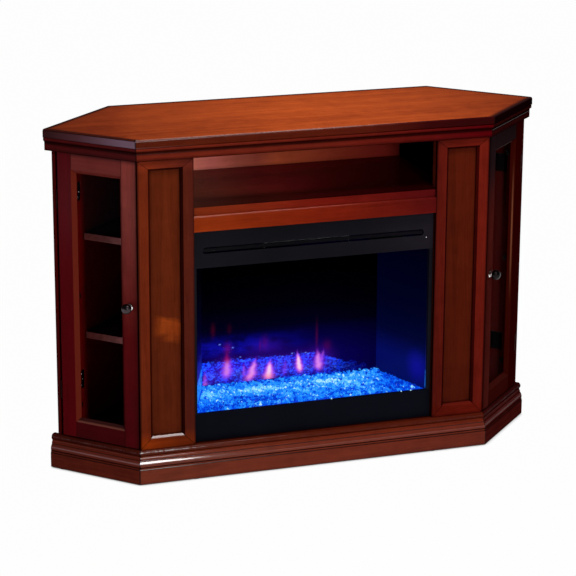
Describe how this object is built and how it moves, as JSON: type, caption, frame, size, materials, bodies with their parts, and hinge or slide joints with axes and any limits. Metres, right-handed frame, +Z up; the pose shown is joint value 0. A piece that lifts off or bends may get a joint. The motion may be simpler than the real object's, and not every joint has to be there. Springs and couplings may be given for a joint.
{
  "type": "electric fireplace mantel",
  "caption": "Six-sided wooden fireplace mantel with a media bay over an electric firebox and a glazed corner cabinet at each end.",
  "frame": {"origin": "floor level, under the middle of the top slab's outline", "axes": "+X along the front to the viewer's right, +Y from the front to the back, +Z up"},
  "size_m": [1.219, 0.375, 0.825],
  "materials": {
    "cherry_wood": "gloss lacquer",
    "steel": "plated",
    "glide_plastic": "matt",
    "black_steel": "satin black",
    "clear_glass": "polished",
    "flame_mirror": "dark mirror",
    "crushed_glass": "crushed glass lit from below",
    "led_plastic": "gloss",
    "aluminium_fins": "plain",
    "board_plastic": "matt",
    "bronze": "dark bronze, polished"
  },
  "bodies": {
    "mantel": {"top_slab": "cherry_wood", "sub_top": "cherry_wood", "cornice_front": "cherry_wood", "cornice_left": "cherry_wood", "cornice_right": "cherry_wood", "top_battens": "cherry_wood", "plinth_front": "cherry_wood", "plinth_left": "cherry_wood", "plinth_right": "cherry_wood", "plinth_rear_boards": "cherry_wood", "bottom_deck": "cherry_wood", "left_partition": "cherry_wood", "right_partition": "cherry_wood", "left_rear_panel": "cherry_wood", "right_rear_panel": "cherry_wood", "back_boards": "cherry_wood", "pilaster_boards": "cherry_wood", "left_pilaster_frame": "cherry_wood", "right_pilaster_frame": "cherry_wood", "media_shelf": "cherry_wood", "media_fascia": "cherry_wood", "cabinet_shelves": "cherry_wood", "shelf_supports": "steel", "floor_glides": "glide_plastic", "door_catches": "glide_plastic", "left_hinge_plates": "steel", "right_hinge_plates": "steel", "firebox_case": "black_steel", "firebox_header": "black_steel", "heat_louvre": "black_steel", "firebox_side_trims": "black_steel", "firebox_apron": "black_steel", "firebox_glass": "clear_glass", "firebox_liners": "black_steel", "flame_screen": "flame_mirror", "ember_tray": "black_steel", "glass_bed": "crushed_glass", "led_bar": "led_plastic", "drive_motors": "steel", "blower_housing": "steel", "heater_element": "aluminium_fins", "control_board": "board_plastic", "cord_gland": "glide_plastic", "firebox_brackets": "steel"},
    "left_door": {"left_door_hinge_stile": "cherry_wood", "left_door_lock_stile": "cherry_wood", "left_door_rails": "cherry_wood", "left_door_glass": "clear_glass", "left_door_fittings": "steel", "left_door_knob": "bronze", "left_door_hinge_leaves": "steel"},
    "right_door": {"right_door_hinge_stile": "cherry_wood", "right_door_lock_stile": "cherry_wood", "right_door_rails": "cherry_wood", "right_door_glass": "clear_glass", "right_door_fittings": "steel", "right_door_knob": "bronze", "right_door_hinge_leaves": "steel"},
    "flame_rotor": {"flame_rotor": "aluminium_fins"},
    "blower_wheel": {"blower_wheel": "aluminium_fins"}
  },
  "joints": [
    {"name": "left_door_swing", "type": "hinge", "parent": "mantel", "child": "left_door", "pos_m": [-0.58051, -0.01795, 0.4], "axis": [0, 0, -1], "range_deg": [0, 100]},
    {"name": "right_door_swing", "type": "hinge", "parent": "mantel", "child": "right_door", "pos_m": [0.58051, -0.01795, 0.4], "axis": [0, 0, 1], "range_deg": [0, 100]},
    {"name": "flame_rotor_spin", "type": "hinge", "parent": "mantel", "child": "flame_rotor", "pos_m": [0, 0.0555, 0.164], "axis": [1, 0, 0], "continuous": true},
    {"name": "blower_spin", "type": "hinge", "parent": "mantel", "child": "blower_wheel", "pos_m": [0, -0.0315, 0.55125], "axis": [1, 0, 0], "continuous": true}
  ]
}
